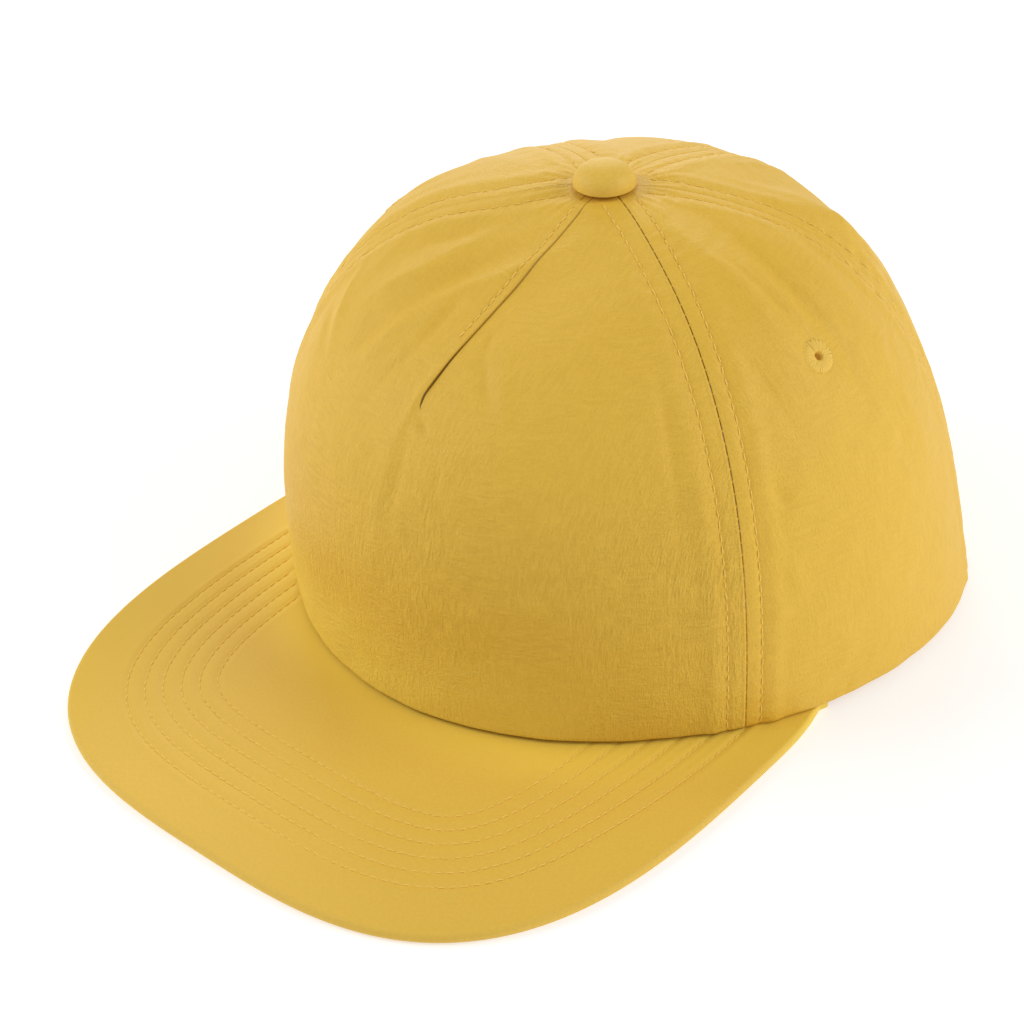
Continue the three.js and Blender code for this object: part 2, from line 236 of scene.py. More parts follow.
def waves(across, up, length, seed, count=14):
    """Soft random relief from about -1 to 1, of waves near one length that run every way."""
    draw = np.random.default_rng(seed)
    total = np.zeros(np.broadcast(across, up).shape)
    for way, spread, phase in draw.random((count, 3)):
        turn, step = way * math.pi, 2 * math.pi / (length * (0.65 + 0.8 * spread))
        total += np.cos(step * (across * math.cos(turn) + up * math.sin(turn)) + 2 * math.pi * phase)
    return total / math.sqrt(count)


def rim_radius(around, height=0.0):
    """From the crown's axis to its wall, at a height from 0 at the rim to 1, where the splay has gone."""
    angle = around * DEGREE
    plain = crown.rim_radius + crown.rim_forward * np.cos(angle) + crown.rim_corners * np.cos(4 * angle)
    corner = bell((np.abs(around) - splay.round) / splay.half_angle)
    return plain + splay.depth * corner * (1 - height) ** 3


def rim_height(around):
    on_brim = brim.thickness + sweatband.clearance
    return on_brim * (1 - smoothstep(brim.end_angle, crown.on_floor_from, np.abs(around)))


def profile_at(around, rise):
    """Reach and height of the profile, as shares of the rim's radius and the crown's height."""
    forward = np.cos(around * DEGREE)
    weights = np.maximum(forward, 0) ** 2, 1 - forward**2, np.maximum(-forward, 0) ** 2
    profiles = FRONT, FLANK, BACK
    reach_power = sum(w * p.reach_power for w, p in zip(weights, profiles))
    height_power = sum(w * p.height_power for w, p in zip(weights, profiles))
    across, up = np.cos(rise * DEGREE), np.sin(rise * DEGREE)

    def inside(size):
        return (size * across) ** reach_power + (size * up) ** height_power < 1

    size = farthest(inside, np.full(np.broadcast(around, rise).shape, 0.5), 0.5, 26)
    return size * across, size * up


def crown_point(around, rise):
    reach, height = profile_at(around, rise)
    radius = rim_radius(around, height) * reach
    middle_y = crown.centre_y + (crown.button_y - crown.centre_y) * height
    foot = rim_height(around)
    angle = around * DEGREE
    x, y = radius * np.sin(angle), middle_y - radius * np.cos(angle)
    return np.stack([x, y, foot + (crown.height - foot) * height], -1)


def crown_normal(around, rise):
    step = 0.05
    low = np.maximum(rise - step, 0)
    along = crown_point(around + step, rise) - crown_point(around - step, rise)
    upward = crown_point(around, low + 2 * step) - crown_point(around, low)
    return unit(np.cross(along, upward))


def mm_per_degree(around, rise):
    """How far a degree goes round the crown."""
    return DEGREE * rim_radius(around) * profile_at(around, rise)[0]


def mm_round(around, middle, rise):
    """Distance round the crown from one angle to another at the same rise."""
    return (around - middle) * mm_per_degree(middle, rise)


def mm_up(rise):
    """Distance up the crown, near enough, from the rim to a rise."""
    return rise * crown.height * DEGREE


def seam_angle(seam, side, rise):
    plain = side * (seam.at_rim + (seam.at_button - seam.at_rim) * rise / 90)
    if seam is FRONT_TO_SIDE and side < 0:
        return plain + pulled.angle * bell((rise - pulled.rise) / pulled.spread)
    return plain


def seam_angles(panel, rise):
    """Where the panel's seams are, on the wearer's right and on the left."""
    right = seam_angle(panel.right_seam, panel.right_side, rise)
    return right, seam_angle(panel.left_seam, panel.left_side, rise)


def folds_at(around, rise, folds):
    total = np.zeros(np.broadcast(around, rise).shape)
    for fold in folds:
        across = mm_round(around, fold.round, rise)
        up = mm_up(rise - fold.rise)
        sine, cosine = math.sin(fold.turn * DEGREE), math.cos(fold.turn * DEGREE)
        along = (up * cosine + across * sine) / fold.half_length
        aside = (across * cosine - up * sine) / fold.half_width
        total += fold.height * bell(along) * bell(aside)
    return total


def dart_line(rise):
    """Where the dart runs, in degrees round."""
    return np.interp(rise, dart.course_rises, dart.course_rounds)


def dart_relief(across, rise):
    """The dart's lip stands up on the wearer's right and its groove lies on the left."""
    depth = smoothstep(dart.end, dart.full, rise) * (1 - 0.4 * smoothstep(60, 80, rise))
    left = -dart.groove * bell(across / dart.groove_width)
    left = left - dart.sink * np.exp(-np.abs(across) / dart.width)
    onto_lip = smoothstep(0, 0.3, -across)
    lip = dart.lip * np.exp(np.minimum(across, 0) / (2 * dart.width)) * onto_lip
    lip = lip - dart.groove * (1 - onto_lip)
    on_row = smoothstep(dart.row_end, dart.row_end + 2, rise)
    stitched = dart.row_depth * bell((across + dart.row) / 0.6) * on_row
    return depth * np.where(across >= 0, left, lip - stitched)


def seam_distances(panel, around, rise):
    """Distances from the panel's right-hand and left-hand seams."""
    right, left = seam_angles(panel, rise)
    return mm_round(around, right, rise), -mm_round(around, left, rise)


def seam_relief(panel, from_seam, across, up, seed):
    """The strip between a seam and its row of stitches, pulled in at both and puckered along the row."""
    from_row = from_seam - panel.row
    strip = sewn.strip * np.sin(math.pi * np.clip(from_seam / panel.row, 0, 1))
    if panel is FRONT_PANEL:
        strip = strip + sewn.ridge * bell((from_seam - 0.65) / 0.35)
    row = -sewn.row_depth * bell(from_row / 0.6)
    bulge = sewn.bulge * bell((from_row - 3.6) / 2.4)
    puckers = sewn.pucker * waves(across * 0.3, up, 5.5, seed + 20) * bell(from_row / 3.2)
    return strip + row + bulge + puckers


def cloth_lift(panel, around, rise):
    """How far the cloth stands over the plain crown."""
    from_right, from_left = seam_distances(panel, around, rise)
    from_seam = np.minimum(from_right, from_left)
    part = from_right / np.maximum(from_right + from_left, 1e-6)
    below_button = smoothstep(gathers.end, gathers.rise, rise)
    puff = panel_puff * np.sin(math.pi * np.clip(part, 0, 1)) * np.sin(math.pi * rise / crown.last_rise)
    lifted = peak.height * smoothstep(peak.start, peak.end, rise)

    # Folds end before the seams and the rim, creases and crumple at the rows of stitches
    folded = smoothstep(0, 0.2, np.minimum(part, 1 - part)) * smoothstep(6, 24, rise)
    loose = smoothstep(panel.row - 1, panel.row + 7, from_seam)
    seed = PANELS.index(panel)
    across, up = mm_round(around, 0, rise), mm_up(rise)
    crumpled = crumple.large * waves(across, up, crumple.large_length, seed)
    crumpled = crumpled + crumple.small * waves(across, up, crumple.small_length, seed + 10, 24)
    creased = crease_depth * folds_at(around, rise, CREASES) + crumpled
    soft = folded * folds_at(around, rise, FOLDS) + loose * creased
    sewn_in = seam_relief(panel, from_seam, across, up, seed)
    gathered = gathers.height * np.cos(around * DEGREE * gathers.count)
    gathered = gathered * bell((rise - gathers.rise) / gathers.spread) * smoothstep(gathers.end, 82, rise)
    total = lifted + (puff + soft + sewn_in) * below_button + gathered
    if panel is FRONT_PANEL:
        total = total + below_button * dart_relief(mm_round(around, dart_line(rise), rise), rise)

    rolled = np.clip(1 - from_seam / sewn.edge_roll, 0, 1)
    hem = np.clip(1 - mm_up(rise) / sewn.hem_roll, 0, 1)
    total = total - sewn.edge_roll * (1 - np.sqrt(1 - rolled**2))
    return total - sewn.hem_roll * (1 - np.sqrt(1 - hem**2))


def cloth_point(panel, around, rise):
    lift = cloth_lift(panel, around, rise)[..., None]
    return crown_point(around, rise) + crown_normal(around, rise) * lift


def select_only(piece):
    bpy.ops.object.select_all(action="DESELECT")
    piece.select_set(True)
    bpy.context.view_layer.objects.active = piece


@contextmanager
def edit_mode(piece):
    select_only(piece)
    bpy.ops.object.mode_set(mode="EDIT")
    yield
    bpy.ops.object.mode_set(mode="OBJECT")


def vertices_of(piece):
    values = np.empty(3 * len(piece.data.vertices))
    piece.data.vertices.foreach_get("co", values)
    return values.reshape(-1, 3)


def put_vertices(piece, points):
    """Puts a piece's vertices at points given in millimetres."""
    piece.data.vertices.foreach_set("co", (points * MM).ravel())
    piece.data.update()


def primitive(name, add, **sizes):
    """A new piece from the operator that adds it, with nothing else selected."""
    bpy.ops.object.select_all(action="DESELECT")
    add(**sizes)
    piece = bpy.context.object
    piece.name = piece.data.name = name
    return piece


def grid(name, columns, rows):
    """A new grid, and the shares across and up of each of its vertices."""
    add = bpy.ops.mesh.primitive_grid_add
    piece = primitive(name, add, x_subdivisions=columns, y_subdivisions=rows, size=1)
    across, up = (vertices_of(piece)[:, :2] + 0.5).T
    return piece, across, up


def note(piece, name, *parts):
    """Keeps three numbers for each vertex, which the piece's material reads."""
    attribute = piece.data.attributes.new(name, "FLOAT_VECTOR", "POINT")
    attribute.data.foreach_set("vector", np.stack(np.broadcast_arrays(*parts), -1).ravel())


def apply_modifiers(piece):
    select_only(piece)
    for modifier in list(piece.modifiers):
        bpy.ops.object.modifier_apply(modifier=modifier.name)


def merge_doubles(piece, distance=0.01):
    with edit_mode(piece):
        bpy.ops.mesh.select_all(action="SELECT")
        bpy.ops.mesh.remove_doubles(threshold=distance * MM)
        bpy.ops.mesh.normals_make_consistent(inside=False)


def smooth(piece, angle=60):
    select_only(piece)
    bpy.ops.object.shade_smooth_by_angle(angle=angle * DEGREE)


def dress(piece, slot, material, *nodes):
    """Gives a piece its material and its place on the cap, and hides the solids that it stands for."""
    piece.data.materials.clear()
    piece.data.materials.append(material)
    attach(piece, "root")
    if nodes:
        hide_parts(*nodes)


class Socket:
    """A number that a node gives. Formulas with it add Math nodes."""

    def __init__(self, finish, socket):
        self.finish = finish
        self.socket = socket

    def maths(self, operation, *values):
        return self.finish.node("Math", {"operation": operation}, dict(enumerate(values)))

    def __add__(self, other):
        return self.maths("ADD", self, other)

    def __sub__(self, other):
        return self.maths("SUBTRACT", self, other)

    def __rsub__(self, other):
        return self.maths("SUBTRACT", other, self)

    def __mul__(self, other):
        return self.maths("MULTIPLY", self, other)

    def __truediv__(self, other):
        return self.maths("DIVIDE", self, other)

    def __pow__(self, other):
        return self.maths("POWER", self, other)

    def __rpow__(self, other):
        return self.maths("POWER", other, self)

    def __abs__(self):
        return self.maths("ABSOLUTE", self)

    def bell(self, width):
        share = self / width
        return math.e ** (share * share * -1)

    def to_and_fro(self, size):
        return self.maths("PINGPONG", self, size)

    __radd__ = __add__
    __rmul__ = __mul__


def needle_holes(from_row, along, pitch, length):
    """One small hole for each stitch of a row, as a mask for painted shade."""
    return along.to_and_fro(pitch / 2).bell(length) * from_row.bell(needle.width)


class Finish:
    """A material in the making, on the Principled shader that a new material has."""

    def __init__(self, name, roughness, specular=0.36):
        self.material = bpy.data.materials.new(name)
        self.material.use_nodes = True
        self.tree = self.material.node_tree
        self.shader = next(n for n in self.tree.nodes if n.type == "BSDF_PRINCIPLED")
        self.set_socket(self.shader.inputs["Roughness"], roughness)
        self.set_socket(self.shader.inputs["Specular IOR Level"], specular)

    def set_socket(self, socket, value):
        if isinstance(value, Socket):
            self.tree.links.new(value.socket, socket)
        else:
            socket.default_value = value

    def node(self, kind, settings, inputs, out=0):
        """Adds a node with its settings and the values or links of its sockets."""
        node = self.tree.nodes.new("ShaderNode" + kind)
        for key, value in settings.items():
            setattr(node, key, value)
        for key, value in inputs.items():
            self.set_socket(node.inputs[key], value)
        return Socket(self, node.outputs[out])

    def attribute(self, name):
        return self.node("Attribute", {"attribute_name": name}, {}, out="Vector")

    def parts(self, vector):
        return [self.node("SeparateXYZ", {}, {0: vector}, out=i) for i in range(3)]

    def noise(self, vector, scales, detail=3.0, distortion=0.0):
        """Noise whose fineness has a scale for each direction."""
        vector = self.node("VectorMath", {"operation": "MULTIPLY"}, {0: vector, 1: scales})
        inputs = {"Vector": vector, "Scale": 1.0, "Detail": detail, "Distortion": distortion}
        return self.node("TexNoise", {}, inputs)

    def between(self, value, low, high, to_low=0.0, to_high=1.0):
        inputs = {0: value, 1: low, 2: high, 3: to_low, 4: to_high}
        return self.node("MapRange", {"interpolation_type": "SMOOTHSTEP"}, inputs)

    def mix(self, share, first, second):
        return self.node("Mix", {"data_type": "RGBA"}, {0: share, 6: first, 7: second}, out=2)

    def colour(self, value):
        self.set_socket(self.shader.inputs["Base Color"], value)

    def relief(self, height, strength=1.0):
        """Bump from a height in millimetres."""
        bump = self.node("Bump", {}, {"Strength": strength, "Distance": MM, "Height": height})
        self.set_socket(self.shader.inputs["Normal"], bump)


MUSTARD = (0.79, 0.484, 0.050, 1)
MUSTARD_DEEP = (0.745, 0.447, 0.042, 1)
MUSTARD_PALE = (0.84, 0.532, 0.062, 1)
MUSTARD_SHADE = (0.64, 0.375, 0.03, 1)
# Painted light: paler cloth at the front of the crown's foot, where the brim shades it
FOOT_PAINTED_LIGHT = (0.905, 0.648, 0.098, 1)
BRIM_MUSTARD = (0.80, 0.515, 0.074, 1)
BRIM_DEEP = (0.765, 0.482, 0.064, 1)
# Painted light: paler brim next to the crown, where the crown shades it
BRIM_PAINTED_LIGHT = (0.88, 0.62, 0.08, 1)
# Painted shade: deeper, more saturated brim on its left side, as in the crown's shade and bounce
BRIM_LEFT_PAINTED_SHADE = (0.765, 0.49, 0.047, 1)
SHADOWED = (0.3, 0.145, 0.0, 1)
# Painted shadow under the dart's fold
FOLD_SHADOW = (0.09, 0.04, 0.0, 1)
THREAD = (0.96, 0.67, 0.16, 1)
THREAD_DEEP = (0.88, 0.57, 0.09, 1)
EYELET_THREAD = (0.82, 0.53, 0.085, 1)


def make_crown_cloth():
    """Crinkled nylon, with painted shade in the needle holes along its rows of stitches, in its fine seams,
    along the dart's fold and the foot, round the button and the eyelets, and painted light at the foot.
    """
    made = Finish("crinkled_nylon", roughness=0.56)
    place = made.attribute("cloth_mm")
    across, up, darkness = made.parts(place)
    from_seam, along_seam, from_row = made.parts(made.attribute("seam_mm"))
    from_dart, along_dart, at_dart = made.parts(made.attribute("dart_mm"))
    from_button, from_eyelet, _ = made.parts(made.attribute("spot_mm"))
    on_front = made.between(abs(from_dart), FAR - 9, FAR - 1, 1.0, 0.0)

    upright = made.noise(place, (0.8, 0.2, 0), 5.0, 0.2)
    level = made.noise(place, (0.2, 0.8, 0), 5.0, 0.2)
    patches = made.noise(place, (0.05, 0.05, 0))
    level_share = made.between(patches, 0.42, 0.62)
    crinkle = upright * (1 - level_share) + level * level_share
    crumbs = made.noise(place, (1.7, 1.2, 0), 5.0, 0.2)
    grain = made.noise(place, (3.6, 2.4, 0))
    warp = made.noise(place, (2.4, 0.3, 0))
    weft = made.noise(place, (0.3, 2.4, 0))
    weave = warp * (0.7 - level_share * 0.4) + weft * (0.3 + level_share * 0.4)

    dart_row = abs(from_dart + dart.row) + (1 - made.between(along_dart, 0.1, 1.0)) * OFF_ROW
    # Painted shade in the needle holes of the seam rows and the dart row
    holes = needle_holes(from_row, along_seam, sewn.pitch, needle.seam_length)
    holes = holes + needle_holes(dart_row, along_dart, sewn.pitch, needle.seam_length)
    dashes = made.between(along_seam.to_and_fro(sewn.pitch / 2), 0.15, 0.4, 0.15, 1.0)
    # Painted shade in the gap of each seam, in dashes between the stitches
    seam_gap_shade = made.between(from_seam, 0.08, 0.26, 1.0, 0.0) * darkness * dashes
    # Painted shadow along the dart's fold line, under its lip
    fold_shadow_line = made.between(abs(from_dart), 0.06, 0.24, 1.0, 0.0) * at_dart
    # Painted shadow along the foot, where the front meets the brim
    foot_shadow_line = made.between(up, 0.4, 1.1, 0.9, 0.0) * made.between(across, -75, -35) * on_front
    # Painted shadow on the cloth round the button's foot
    button_shadow = made.between(from_button, button.radius + 0.2, button.radius + 0.7, 0.25, 0.0)
    # A broken dark ring round each eyelet: needle holes of its satin stitches, and painted shadow of its
    # outline
    eyelet_holes_and_shadow = (from_eyelet - eyelet.outer).bell(0.25) * made.between(crumbs, 0.42, 0.6, 0.0, 0.4)
    # All the painted shade together: needle holes, seam gaps, the dart's fold, the foot, the button's foot
    # and the eyelets' rims
    painted_shade_marks = holes * 0.8 + seam_gap_shade + fold_shadow_line + foot_shadow_line + eyelet_holes_and_shadow + button_shadow
    dark = made.between(painted_shade_marks, 0.0, 1.0)

    low_front = on_front * made.between(up, 45, 85, 1.0, 0.0) * made.between(across, -62, -35, 0.5, 1.0)
    height = crinkle * (0.25 + low_front * 0.42) + crumbs * (0.25 + low_front * 0.24)
    height = height + grain * (0.03 + on_front * 0.07) + weave * (on_front * 0.12 + low_front * 0.45)
    made.relief(height - from_row.bell(0.35) * 0.05 - dart_row.bell(0.35) * 0.05, 0.8)
    tone = made.mix(made.between(crumbs * 0.5 + crinkle * 0.5, 0.36, 0.64), MUSTARD_DEEP, MUSTARD)
    tone = made.mix(made.between(grain, 0.35, 0.75, 0.0, 0.5), tone, MUSTARD_PALE)
    mottle = made.between(weave * 0.7 + crinkle * 0.3, 0.58, 0.42) * (0.1 + low_front * 0.28)
    tone = made.mix(mottle, tone, MUSTARD_SHADE)
    # Painted light at the foot of the front, lifting the shade where the crown meets the brim
    painted_light_at_foot = made.between(up, 0, 36, 0.95, 0.0) * made.between(across, 30, 75, 1.0, 0.3) * on_front
    # The painted shade of all these marks goes over the cloth's tone
    tone = made.mix(dark * 0.86, made.mix(painted_light_at_foot, tone, FOOT_PAINTED_LIGHT), SHADOWED)
    # Painted shadow under the dart's fold, deepest at its end
    made.colour(made.mix(made.between(fold_shadow_line, 0.0, 1.0) * 0.6, tone, FOLD_SHADOW))
    return made.material


def make_brim_cloth():
    """The same cloth drawn smooth over a board, with painted shade in the needle holes along its rows of
    stitches, painted light near the crown and painted shade on its left side.
    """
    made = Finish("smooth_nylon", roughness=0.58)
    from_row, along, on_rows = made.parts(made.attribute("row_mm"))
    place = made.attribute("cloth_mm")
    drawn = made.noise(place, (0.35, 0.2, 0), 4.0, 0.3)
    crumbs = made.noise(place, (1.1, 1.1, 0), 4.0)
    grain = made.noise(place, (4.0, 4.0, 0), 2.0)
    row = from_row + (1 - on_rows) * OFF_ROW
    holes = needle_holes(row, along, brim.pitch, needle.brim_length)
    made.relief(drawn * 0.08 + crumbs * 0.05 + grain * 0.09 - row.bell(0.4) * 0.05, 0.8)
    tone = made.mix(made.between(crumbs * 0.5 + grain * 0.5, 0.38, 0.66), BRIM_DEEP, BRIM_MUSTARD)
    x, y, _ = made.parts(place)
    from_axis = (x * x + (y - crown.centre_y) * (y - crown.centre_y)) ** 0.5
    # Painted shade on the brim's left side, with the crown's bounce
    tone = made.mix(made.between(x, -85, -35, 0.9, 0.0), tone, BRIM_LEFT_PAINTED_SHADE)
    # Painted light on the brim near the crown, lifting the shade at the join
    tone = made.mix(made.between(from_axis, 90, 112, 0.95, 0.0), tone, BRIM_PAINTED_LIGHT)
    # Painted shade in the brim's needle holes
    made.colour(made.mix(holes * 0.6, tone, SHADOWED))
    return made.material


def make_plain_cloth(name, light, deep, fineness, relief, roughness):
    """Plain woven cloth on object coordinates, for small pieces and the sweatband."""
    made = Finish(name, roughness)
    place = made.node("TexCoord", {}, {}, out="Object")
    mottle = made.noise(place, [fineness] * 3, 4.0)
    threads = made.noise(place, [6 * fineness] * 3, 2.0)
    made.relief(mottle * relief + threads * 0.6 * relief)
    made.colour(made.mix(made.between(mottle, 0.35, 0.7), deep, light))
    return made.material


def make_thread(name, pale, deep):
    """Sewing thread: fine twisted strands along a row of stitches."""
    made = Finish(name, roughness=0.55)
    place = made.node("TexCoord", {}, {}, out="Object")
    strands = made.noise(place, [4200.0] * 3, 2.0, 0.5)
    made.relief(strands * 0.03)
    made.colour(made.mix(made.between(strands, 0.3, 0.7), deep, pale))
    return made.material


crown_cloth = make_crown_cloth()
brim_cloth = make_brim_cloth()
button_cloth = make_plain_cloth("button_nylon", BRIM_MUSTARD, BRIM_DEEP, 1100.0, 0.03, 0.56)
band_cloth = make_plain_cloth("sweatband_cotton", MUSTARD, MUSTARD_DEEP, 1400.0, 0.1, 0.85)
sewing_thread = make_thread("sewing_thread", THREAD, THREAD_DEEP)
eyelet_thread = make_thread("eyelet_thread", EYELET_THREAD, THREAD_DEEP)


def crowd(share, places):
    """Spaces columns closer together at a panel's edges, and at its middle with two places."""
    return share - crowding * np.sin(2 * math.pi * places * share) / (2 * math.pi * places)


def seams_of(panel):
    """The panel's seam on the wearer's right, then the one on the left, with the way into the panel."""
    return (panel.right_seam, panel.right_side, 1), (panel.left_seam, panel.left_side, -1)


def seam_row(panel, seam, side, inward):
    """The row of stitches beside a seam: rises and rounds."""
    rises = np.linspace(0, sewn.row_top, 500)
    at_seam = seam_angle(seam, side, rises)
    return rises, at_seam + inward * panel.row / mm_per_degree(at_seam, rises)


def dart_row():
    """The row of stitches beside the dart: rises and rounds."""
    rises = np.linspace(dart.row_end, sewn.row_top, 300)
    at_line = dart_line(rises)
    return rises, at_line - dart.row / mm_per_degree(at_line, rises)


def lengths_along(points):
    steps = np.linalg.norm(np.diff(points, axis=0), axis=1)
    return np.concatenate([[0], np.cumsum(steps)])


def length_on_row(rise, rises, rounds):
    """Length along a row of stitches, beside each point of the cloth."""
    return np.interp(rise, rises, lengths_along(crown_point(rounds, rises)))


def on_line(wanted, lengths, points):
    """Points of a line at the wanted lengths along it."""
    return np.stack([np.interp(wanted, lengths, column) for column in points.T], -1)


def seam_darkness(seam, side, rise):
    """How dark the painted shade in the line of a seam is: most where two panels stand apart, over the
    wearer's left eye.
    """
    if seam is not FRONT_TO_SIDE:
        return np.full_like(rise, 0.1)
    if side > 0:
        return 0.6 + 0.4 * smoothstep(22, 32, rise)
    return 0.1 + 0.8 * smoothstep(75, 80, rise)


def dart_darkness(rise):
    """How dark the painted shadow along the dart's fold line is: most at its end, faint at the hook below.
    Also where the end is.
    """
    at_end = bell(rise - dart.end - 0.6)
    faded = 1 - 0.55 * smoothstep(dart.full, 56, rise)
    line = smoothstep(dart.end - 0.5, dart.end, rise) * (faded + 0.8 * at_end)
    hook = 0.35 * smoothstep(dart.end - 1.2, dart.end - 0.8, rise)
    return np.maximum(line, hook), at_end


def note_panel(piece, panel, around, rise):
    """Distances on the cloth, for its material. Gives back the distance from the nearer seam."""
    from_right, from_left = seam_distances(panel, around, rise)
    along, darkness = np.empty_like(rise), np.empty_like(rise)
    near_right = from_right < from_left
    for (seam, side, inward), near in zip(seams_of(panel), (near_right, ~near_right)):
        along[near] = length_on_row(rise[near], *seam_row(panel, seam, side, inward))
        darkness[near] = seam_darkness(seam, side, rise[near])
    from_seam = np.minimum(from_right, from_left)
    note(piece, "seam_mm", from_seam, along, np.abs(from_seam - panel.row))
    centre = (panel.right_side * panel.right_seam.at_rim + panel.left_side * panel.left_seam.at_rim) / 2
    across, up = mm_round(around, centre, rise), mm_up(rise)
    note(piece, "cloth_mm", across, up, darkness)

    from_dart, along_dart, at_dart = np.full_like(rise, FAR), 0, 0
    if panel is FRONT_PANEL:
        along_dart = length_on_row(rise, *dart_row())
        at_dart, at_end = dart_darkness(rise)
        # The painted shadow line is broader at its end
        from_dart = mm_round(around, dart_line(rise), rise) * (1 - 0.3 * at_end)
    note(piece, "dart_mm", from_dart, along_dart, at_dart)

    points = crown_point(around, rise)
    from_button = np.hypot(points[:, 0], points[:, 1] - (crown.button_y - button.forward))
    from_eyelet = np.full_like(rise, FAR)
    if "side" in panel.name:
        from_eyelet = np.linalg.norm(points - crown_point(*eyelet_angles(panel)), axis=1)
    note(piece, "spot_mm", from_button, from_eyelet, 0)
    return from_seam


def thicken(piece, wall, share, double=None):
    """Gives a sheet its wall on the inner side, double where a weight says so."""
    modifier = piece.modifiers.new("wall", "SOLIDIFY")
    modifier.thickness = wall * MM
    modifier.offset = -1
    if double is not None:
        group = piece.vertex_groups.new(name="double_cloth")
        for index in np.flatnonzero(double):
            group.add([int(index)], double[index], "REPLACE")
        modifier.vertex_group = group.name
        modifier.thickness_vertex_group = share
    apply_modifiers(piece)


def keep_above_floor(piece):
    points = vertices_of(piece) / MM
    points[:, 2] = np.maximum(points[:, 2], 0)
    put_vertices(piece, points)


def cut_out(piece, middle, radius):
    """Takes the cloth away round a point."""
    with edit_mode(piece):
        bpy.ops.mesh.select_mode(type="VERT")
        bpy.ops.mesh.select_all(action="DESELECT")
    near = np.linalg.norm(vertices_of(piece) / MM - middle, axis=1) <= radius
    piece.data.vertices.foreach_set("select", near)
    with edit_mode(piece):
        bpy.ops.mesh.delete(type="VERT")


def make_panel(panel):
    """One panel of the crown, from the rim to the button and from seam to seam."""
    piece, across, up = grid(panel.name + "_cloth", panel.columns, panel_rows)
    rise = crown.last_rise * up
    right, left = seam_angles(panel, rise)
    half_gap = sewn.seam_open / mm_per_degree((right + left) / 2, rise)
    has_dart = panel is FRONT_PANEL
    share = crowd(across, 2 if has_dart else 1)
    around = right + half_gap + (left - right - 2 * half_gap) * share
    if has_dart:
        around = around + dart_line(rise) * (1 - np.abs(2 * share - 1))
    points = cloth_point(panel, around, rise)
    put_vertices(piece, points)
    from_seam = note_panel(piece, panel, around, rise)
    at_seam = smoothstep(sewn.double + 0.5, sewn.double, from_seam)
    at_hem = smoothstep(cloth.hem_rise, cloth.hem_rise - 1, rise)
    if "side" in panel.name:
        cut_out(piece, eyelet_seat(panel)[0], eyelet.outer / 2)
    thicken(piece, cloth.double, cloth.single_share, np.maximum(at_seam, at_hem))
    keep_above_floor(piece)
    smooth(piece)
    dress(piece, "crown_cloth", crown_cloth, panel.name)


def eyelet_angles(panel):
    side = 1 if panel.name.startswith("left") else -1
    return np.array([side * eyelet.round]), np.array([eyelet.rise])


def eyelet_seat(panel):
    """The middle of the panel's eyelet and the way out there."""
    around, rise = eyelet_angles(panel)
    return cloth_point(panel, around, rise)[0], crown_normal(around, rise)[0]


def tube_faces(sides, rings, first=0):
    """Faces of a closed tube whose rings of points follow each other from the first point on."""
    faces = []
    for start in range(first, first + rings * sides, sides):
        for side in range(sides):
            a, b = start + side, start + (side + 1) % sides
            faces.append((a, b, b + sides, a + sides))
    faces.append(tuple(first + side for side in reversed(range(sides))))
    faces.append(tuple(first + rings * sides + side for side in range(sides)))
    return faces


def thread_stitch(pitch):
    """One stitch as points and faces: a round thread along X whose ends dip into the cloth."""
    half = pitch * thread.share / 2
    points = []
    for t in np.linspace(-1, 1, thread.rings + 1):
        width = thread.width / 2 * math.sqrt(max(1 - t**4, 0.05))
        lift = thread.proud - thread.dip * abs(t) ** 3
        for turn in np.arange(thread.sides) * 2 * math.pi / thread.sides:
            points.append((half * t, width * math.sin(turn), lift + width * math.cos(turn)))
    return np.array(points), tube_faces(thread.sides, thread.rings)


def added(name, data):
    """A new object in the scene."""
    piece = bpy.data.objects.new(name, data)
    bpy.context.scene.collection.objects.link(piece)
    return piece


def joined(name, points, faces):
    """A piece of many small shapes, its points in millimetres."""
    mesh = bpy.data.meshes.new(name)
    mesh.from_pydata(points * MM, [], faces)
    piece = added(name, mesh)
    smooth(piece)
    return piece


def stitched_piece(name, pitch, places, seed):
    """Joins a copy of the stitch at each place: its middle, its direction and the way out."""
    points, faces = thread_stitch(pitch)
    draw = np.random.default_rng(seed)
    all_points, all_faces = [], []
    for index, (middle, along, outward) in enumerate(places):
        aside = np.cross(outward, along)
        swing = draw.normal(0, 0.04)
        along, aside = along + swing * aside, aside - swing * along
        scale = 1 + draw.normal(0, 0.04)
        placed = scale * points[:, :1] * along + points[:, 1:2] * aside + points[:, 2:] * outward
        all_points.append(middle + placed)
        all_faces += [tuple(i + index * len(points) for i in face) for face in faces]
    return joined(name, np.concatenate(all_points), all_faces)


def places_on_line(points, outwards, pitch):
    """Middles of the stitches along a line, with their directions."""
    lengths = lengths_along(points)
    middles = np.arange(pitch / 2, lengths[-1] - pitch / 2, pitch)
    ahead, behind = (on_line(middles + step, lengths, points) for step in (pitch / 4, -pitch / 4))
    outwards = unit(on_line(middles, lengths, outwards))
    return list(zip(on_line(middles, lengths, points), unit(ahead - behind), outwards))


